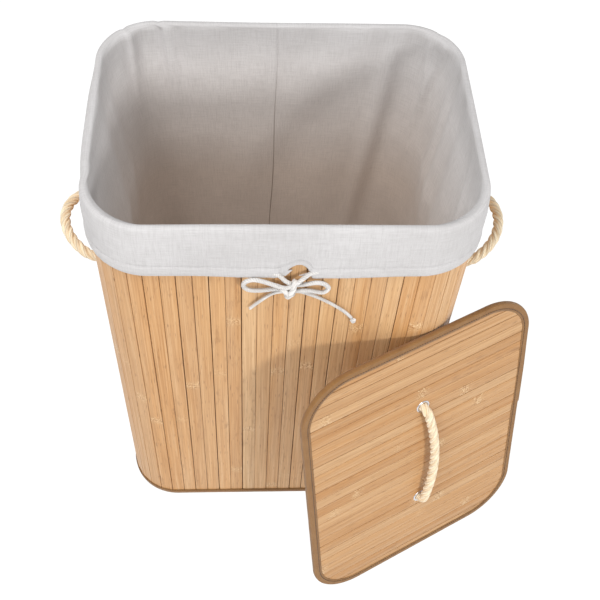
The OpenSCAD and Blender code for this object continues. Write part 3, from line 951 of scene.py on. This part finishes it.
def build_wall_bindings():
    low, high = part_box("bottom_binding")
    outer = high[0] - HALF_W
    inner = -0.0037
    loop = wall_loop(0, 0, 480)
    profile = channel_profile(outer, inner, high[2], 0.0007)
    sweep_tape("bottom_edge_tape", loop, profile, "hamper", "bottom_binding", 8)
    seam = wall_loop(outer + 0.0001, high[2] - 0.0017, 380)
    stitches("bottom_stitches", [(p, along_loop(seam, i), out) for i, (p, out, up) in enumerate(seam)],
             0.0025, 0.00035, STITCH, "hamper", "binding")


build_lid_binding()
build_wall_bindings()


# ---------------------------------------------------------------- eyelets

def ring_mesh(name, centre, axis, profile, body, node):
    """A turned ring: profile is its closed section as (radius, height) pairs."""
    sides = 72
    side = axis.orthogonal().normalized()
    up = axis.cross(side)
    points = []
    for k in range(sides):
        a = 2 * math.pi * k / sides
        for r, h in profile:
            points.append(centre + (side * math.cos(a) + up * math.sin(a)) * r + axis * h)
    faces = grid_faces(sides, len(profile), wrap_rows=True, wrap_columns=True)
    belongs(add_mesh(name, points, faces, EYELET), body, "eyelet", *([node] if node else []))


def flange_profile(bore, flange, lip, depth):
    """An eyelet's section: a rolled flange that turns down into its barrel."""
    roll = [(bore + (flange - bore) * 0.5 + (flange - bore) * 0.5 * math.cos(a), lip * math.sin(a))
            for a in np.linspace(0, math.pi, 13)]
    return roll + [(bore, -depth), (bore + 0.0004, -depth), (bore + 0.0004, -0.0002)]


def washer_profile(bore, flange, thick, low):
    bevel = 0.0003
    return [(flange, low + thick * 0.5), (flange - bevel, low + thick), (bore + bevel, low + thick),
            (bore, low + thick * 0.6), (bore, low + thick * 0.3), (bore + bevel, low), (flange - bevel, low)]


def eyelet_and_washer(name, tag, centre, axis, depth, washer_low, body, first):
    """An eyelet and its washer. The first of a pair stands for the CAD's node, which holds both."""
    bore = ROPE_R + 0.0002
    for kind, profile in (("eyelet", flange_profile(bore, EYELET_FLANGE_R, 0.0012, depth)),
                          ("washer", washer_profile(bore, EYELET_FLANGE_R, 0.0008, washer_low))):
        ring_mesh(f"{name}_{tag}_{kind}", centre, axis, profile, body, f"{name}_{kind}s" if first else None)


def build_eyelets():
    for side, span, name in ((-1, LEFT_SPAN, "left"), (1, RIGHT_SPAN, "right")):
        for along, tag in ((-1, "front"), (1, "back")):
            centre = Vector((side * HALF_W, SIDE_Y + along * span / 2, SIDE_Z))
            axis = Vector((side, 0, 0))
            eyelet_and_washer(name, tag, centre, axis, 0.0029, -0.0037, "hamper", along < 0)
    for along, tag in ((-1, "lower"), (1, "upper")):
        centre = lid_point(LID_EYELET_X, LID_LEN / 2 + along * LID_SPAN / 2, 0)
        eyelet_and_washer("lid", tag, centre, LID_OUT, 0.0052, -0.006, "lid", along < 0)


build_eyelets()


# ---------------------------------------------------------------- liner

CUFF_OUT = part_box("liner_cuff")[1][0] - HALF_W
HEM_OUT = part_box("hem_casing")[1][0] - HALF_W
HEM_LOW, HEM_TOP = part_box("hem_casing")[0][2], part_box("hem_casing")[1][2]
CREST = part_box("liner_cuff")[1][2]
BAG_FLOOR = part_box("liner_floor")[0][2]
AROUND = 840
TUCK_OUT = 0.0018
SEAM_AT = wall_start(2) + STRAIGHT_X + 0.006
BOW_AT = STRAIGHT_X + 0.028


def away(s, place):
    """Signed distance round the outline from a place on it."""
    return (s - place + PERIMETER / 2) % PERIMETER - PERIMETER / 2


def side_point(wall, share):
    """The place along the outline at a share of one wall's straight."""
    return wall_start(wall) + SIDES[wall] * share


def fold(s, z, at, top, reach, width, depth, lean, sharp):
    """One hanging fold: a ridge with a hollow beside it, strongest at a height and fading above and below.

    lean is how far it moves along the outline for each metre it falls; sharp draws its near side in."""
    d = away(s, at + lean * (top - z)) / width
    d = np.where(d < 0, d * sharp, d)
    shape = np.exp(-d * d) - 0.55 * np.exp(-(d + 1.9) ** 2 / 1.4)
    return depth * shape * math.exp(-((z - top + reach * 0.45) / reach) ** 2)


# The bag's folds: place at the top, its height, reach, width, depth inward, lean and sharpness
FOLDS = [
    (side_point(2, 0.00), 0.585, 0.26, 0.013, 0.0060, 0.09, 1.0),
    (side_point(2, 0.20), 0.575, 0.15, 0.032, 0.0042, 0.62, 1.0),
    (side_point(2, 0.80), 0.520, 0.16, 0.040, 0.0035, -0.30, 1.2),
    (side_point(2, 0.99), 0.590, 0.06, 0.0065, 0.0045, -0.05, 1.0),
    (side_point(2, 1.14), 0.590, 0.06, 0.0060, 0.0050, 0.05, 1.0),
    (side_point(2, 1.24), 0.540, 0.16, 0.020, 0.0045, 0.12, 1.0),
    (side_point(3, 0.10), 0.500, 0.18, 0.018, 0.0045, 0.10, 1.0),
    (side_point(3, 0.42), 0.530, 0.20, 0.024, 0.0030, 0.15, 1.0),
    (side_point(1, 1.02), 0.560, 0.11, 0.010, 0.0035, -0.10, 1.3),
    (side_point(1, 1.24), 0.575, 0.07, 0.006, 0.0030, 0.10, 1.0),
    (side_point(1, 1.34), 0.582, 0.06, 0.005, 0.0028, -0.15, 1.0),
    (side_point(1, 0.80), 0.540, 0.18, 0.016, 0.0035, -0.10, 1.2),
    (side_point(1, 0.50), 0.520, 0.20, 0.020, 0.0030, -0.18, 1.0),
    (side_point(1, 0.12), 0.500, 0.10, 0.008, 0.0035, -0.30, 1.0),
    (side_point(0, 0.25), 0.520, 0.22, 0.026, 0.0030, 0.15, 1.0),
    (side_point(0, 0.75), 0.520, 0.22, 0.026, 0.0030, -0.15, 1.0)]

# Places where the rim is pinched in: place, width and depth
PINCHES = [
    (side_point(2, 1.00), 0.0032, 0.0016), (side_point(2, 1.15), 0.0036, 0.0018),
    (side_point(1, 1.30), 0.006, 0.0012), (side_point(3, 0.95), 0.010, 0.0016)]
# Places where the left side of the rim stands out from the basket
BULGES = [(side_point(3, 0.5), 0.070, 0.0032), (side_point(1, 0.5), 0.060, 0.0010)]

# The gap in the hem where the drawstring comes out: x on the front and the height of the cloth's edge there
GAP_MIDDLE = 0.008
GAP_HALF = 0.020
GAP_X = [-0.0095, -0.0075, -0.0045, 0.0, 0.004, 0.009, 0.014, 0.0185, 0.022, 0.0245, 0.0262]
GAP_RISE = [0.0, 0.0045, 0.0085, 0.0125, 0.018, 0.0222, 0.0225, 0.0195, 0.0145, 0.0070, 0.0]


def ripple(s, rng, waves, low, high):
    """A sum of a few waves round the outline, from low to high turns, with random phases."""
    total = np.zeros_like(s)
    for _ in range(waves):
        turns = rng.integers(low, high)
        total += np.sin(2 * math.pi * turns * s / PERIMETER + rng.uniform(0, 6.28)) * rng.uniform(0.4, 1.0)
    return total / waves


def liner_section():
    """The liner's section from the middle of its floor to the bottom of its hem, as rows of
    (half width, half depth, corner radius, height, kind)."""
    rows = []
    foot_w, foot_d = HALF_W - 0.028, HALF_D - 0.018
    waist_w, waist_d = HALF_W - 0.022, HALF_D - 0.012
    tuck = 0.0042
    fold_r = 0.008
    top_w, top_d, top_r = HALF_W - tuck, HALF_D - tuck, 0.064

    def outside(out, z, kind):
        rows.append((HALF_W + out, HALF_D + out, CORNER_R + out, z, kind))

    for share in (0.02, 0.3, 0.6, 0.85):
        rows.append((foot_w * share, foot_d * share, FOOT_R * share, BAG_FLOOR + 0.0012, "floor"))
    for a in np.linspace(0.15, 1.35, 5):
        pull = fold_r * (1 - math.sin(a))
        z = BAG_FLOOR + 0.001 + fold_r * (1 - math.cos(a))
        rows.append((foot_w - pull, foot_d - pull, FOOT_R - pull * 0.6, z, "wall"))
    for t in np.linspace(0.03, 1, 36):
        z = BAG_FLOOR + 0.009 + (WAIST_Z - BAG_FLOOR - 0.009) * t
        rows.append((foot_w + (waist_w - foot_w) * t, foot_d + (waist_d - foot_d) * t, FOOT_R, z, "wall"))
    for t in np.linspace(0.04, 1, 30):
        z = WAIST_Z + (CREST - 0.0025 - WAIST_Z) * t
        ease = t ** 0.8
        rows.append((waist_w + (top_w - waist_w) * ease, waist_d + (top_d - waist_d) * ease,
                     FOOT_R + (top_r - FOOT_R) * ease, z, "wall"))
    for a in np.linspace(0.35, math.pi - 0.35, 7):
        out = (TUCK_OUT - tuck) / 2 - (TUCK_OUT + tuck) / 2 * math.cos(a)
        outside(out, CREST - 0.0022 + 0.0022 * math.sin(a), "crest")
    for t in np.linspace(0.05, 1, 18):
        out = TUCK_OUT + (CUFF_OUT - TUCK_OUT) * min(1, t * 2.2) ** 0.7
        outside(out, CREST - 0.003 + (HEM_TOP + 0.004 - CREST) * t, "cuff")
    for t, out in ((0.0, CUFF_OUT - 0.0003), (0.10, HEM_OUT - 0.0003), (0.25, HEM_OUT), (0.5, HEM_OUT),
                   (0.7, HEM_OUT), (0.88, HEM_OUT - 0.0004), (0.97, HEM_OUT - 0.0013),
                   (1.0, HEM_OUT - 0.0022)):
        outside(out, HEM_TOP - (HEM_TOP - HEM_LOW) * t, "hem")
    return rows


def build_liner():
    rng = np.random.default_rng(12)
    s = SEAM_AT + np.linspace(0, PERIMETER, AROUND, endpoint=False)
    rim_rise = 0.0010 * ripple(s, rng, 4, 2, 9)
    rim_out = 0.0006 * ripple(s, rng, 4, 2, 7)
    pucker = 0.00045 * ripple(s, rng, 6, 60, 130)
    soft = 0.0008 * ripple(s, rng, 5, 12, 34)
    slack = 0.0012 * ripple(s, rng, 5, 5, 16)
    bulge = sum(depth * np.exp(-(away(s, at) / width) ** 4) for at, width, depth in BULGES)
    pinch = sum(depth * np.exp(-(away(s, at) / width) ** 2) for at, width, depth in PINCHES)
    # The hem hangs lowest in the middle of the front, and its gap is drawn up into an arch
    hem_rise = 0.0065 * (1 - np.exp(-(away(s, BOW_AT) / 0.11) ** 2))
    gap_rise = np.interp(away(s, STRAIGHT_X), GAP_X, GAP_RISE, 0, 0)
    points, weave, tone = [], [], []
    hem_line = before = None
    run = 0.0
    for half_w, half_d, r, z, kind in liner_section():
        lift = np.zeros_like(s)
        out = np.zeros_like(s)
        near_rim = max(0.0, 1 - (CREST - z) / 0.07)
        if kind == "wall":
            high = max(0.0, min(1.0, (z - 0.02) / 0.1))
            for shape in FOLDS:
                out -= fold(s, z, *shape) * high * (1 - 0.85 * near_rim ** 3)
            out += (slack * 1.3 + soft * 0.5) * high * (1 - near_rim)
            out += rim_out * near_rim - pinch * near_rim ** 2
        if kind in ("crest", "cuff", "hem"):
            fall = (CREST - z) / (CREST - HEM_LOW)
            out += rim_out * (1 - fall) + soft * fall * 0.7 + pucker * max(0, fall - 0.45) * 1.6
            out += bulge * max(0.0, min(fall * 8, 1.1 - fall))
            out -= pinch * max(0.0, 1 - fall * 4)
            lift += rim_rise * (1 - fall) + hem_rise * fall + gap_rise * max(0.0, fall - 0.4) / 0.6
        if kind == "hem":
            # The casing is empty where the drawstring is out, so its edge lies flat round the gap
            out -= max(0.0, half_w - HALF_W - CUFF_OUT + 0.0008) * np.minimum(1, gap_rise / 0.006)
        x, y, nx, ny = outline(s, half_w, half_d, r)
        x, y = x + nx * out, y + ny * out
        height = z + lift
        if before:
            run += abs(z - before[0]) + abs(half_w - before[1])
        before = (z, half_w)
        points += list(zip(x, y, height))
        weave += [(a, run, 0) for a in s]
        # How far down inside the basket a row lies, for the painted shade and glow of the cloth inside
        inside = min(1.0, max(0.0, (CREST - 0.01 - z) / 0.22)) ** 1.15 if kind in ("wall", "floor") else 0.0
        line = np.clip(away(s, SEAM_AT + 0.0022 * math.sin(z * 9) + 0.0008 * math.sin(z * 31)), -0.02, 0.02)
        close = np.exp(-(line / 0.012) ** 4) * (kind == "wall")
        tone += [(inside, d, c) for d, c in zip(line, close)]
        if kind == "cuff":
            hem_line = list(zip(x, y, height))
    faces = grid_faces(len(points) // AROUND, AROUND, wrap_columns=True)
    faces.append(range(AROUND - 1, -1, -1))
    piece = add_mesh("liner_cloth_bag", points, faces, LINER, attributes={"weave": weave, "tone": tone})
    thick = piece.modifiers.new("cloth", "SOLIDIFY")
    thick.thickness = 0.0009
    thick.offset = -1
    apply_modifiers(piece)
    clear_outer_painted_shade(piece, len(points))
    belongs(piece, "liner", "liner", "liner_walls", "liner_floor", "liner_cuff", "hem_casing", "liner_seam")
    build_hem_stitches(hem_line)


def clear_outer_painted_shade(piece, count):
    """Takes the inside's painted shade and glow off the bag's outer face. The cloth's thickness follows the
    first count points with a copy of each, on the side away from the basket's middle or towards it."""
    data = piece.data
    tone = np.zeros(len(data.vertices) * 3)
    data.attributes["tone"].data.foreach_get("vector", tone)
    place = np.zeros(len(data.vertices) * 3)
    data.vertices.foreach_get("co", place)
    tone, place = tone.reshape(-1, 3), place.reshape(-1, 3)
    reach = np.hypot(place[:, 0], place[:, 1])
    wall = tone[:count, 0] > 0
    copies_out = (reach[count:2 * count] - reach[:count])[wall].mean() > 0
    outer = slice(count, 2 * count) if copies_out else slice(0, count)
    tone[outer, 0] = 0
    data.attributes["tone"].data.foreach_set("vector", tone.ravel())


def build_hem_stitches(line):
    """The hem's row of stitches, along a line on the cuff's face just above it."""
    loop = [Vector(p) for p in line]
    places = []
    for i in range(0, len(loop), 2):
        if abs(loop[i].x - GAP_MIDDLE) < GAP_HALF and loop[i].y < 0:
            continue
        along = (loop[(i + 1) % len(loop)] - loop[i - 1]).normalized()
        places.append((loop[i] + Vector((0, 0, -0.0006)), along, along.cross(Vector((0, 0, 1)))))
    stitches("hem_stitches", places, 0.0022, 0.00018, SEW, "liner", "liner")


def apply_modifiers(obj):
    graph = bpy.context.evaluated_depsgraph_get()
    done = bpy.data.meshes.new_from_object(obj.evaluated_get(graph))
    obj.modifiers.clear()
    obj.data = done


build_liner()


# ---------------------------------------------------------------- carried-over pieces

for node, material in (
        ("wall_backing", BACKING_AND_GAP_SHADE), ("wall_join_strip", COVER), ("base_board", BOARD),
        ("base_top_cover", COVER), ("base_bottom_cover", COVER), ("base_hinge_strip", COVER),
        ("support_rods", ROD), ("rod_sleeves", COVER), ("lid_board", BOARD), ("lid_underside", COVER),
        ("top_binding", BACKING_AND_GAP_SHADE), ("base_edge_binding", BACKING_AND_GAP_SHADE), ("drawstring", LINER)):
    kept = frame["nodes"][node].data.materials
    kept.clear()
    kept.append(material)


# ---------------------------------------------------------------- room

def add_floor():
    size = 30.0
    m = Shader("floor", 0.8, (0.1, 0.1, 0.1), Specular_IOR_Level=0.0,
               Emission_Color=(1, 1, 1, 1), Emission_Strength=0.97)
    corners = [(-size, -size, 0), (size, -size, 0), (size, size, 0), (-size, size, 0)]
    add_mesh("floor", corners, [(0, 1, 2, 3)], m.material)


def add_light(name, at, towards, size, power):
    data = bpy.data.lights.new(name, "AREA")
    data.shape = "SQUARE"
    data.size = size
    data.energy = power
    light = bpy.data.objects.new(name, data)
    bpy.context.collection.objects.link(light)
    light.location = at
    light.rotation_euler = (Vector(towards) - Vector(at)).to_track_quat("-Z", "Y").to_euler()


def add_lights():
    world = bpy.data.worlds.new("world")
    world.use_nodes = True
    world.node_tree.nodes["Background"].inputs[0].default_value = (1, 1, 1, 1)
    world.node_tree.nodes["Background"].inputs[1].default_value = 0.60
    bpy.context.scene.world = world
    add_light("front_left", (-1.3, -1.9, 2.4), (0, 0, 0.4), 0.9, 15)
    add_light("right", (1.4, -2.3, 1.25), (0, 0, 0.3), 0.4, 32)
    add_light("over_the_mouth", (-0.6, -0.5, 2.15), (0.05, 0.08, 0.3), 0.5, 17)


add_floor()
add_lights()
bpy.context.scene.view_settings.view_transform = "Standard"
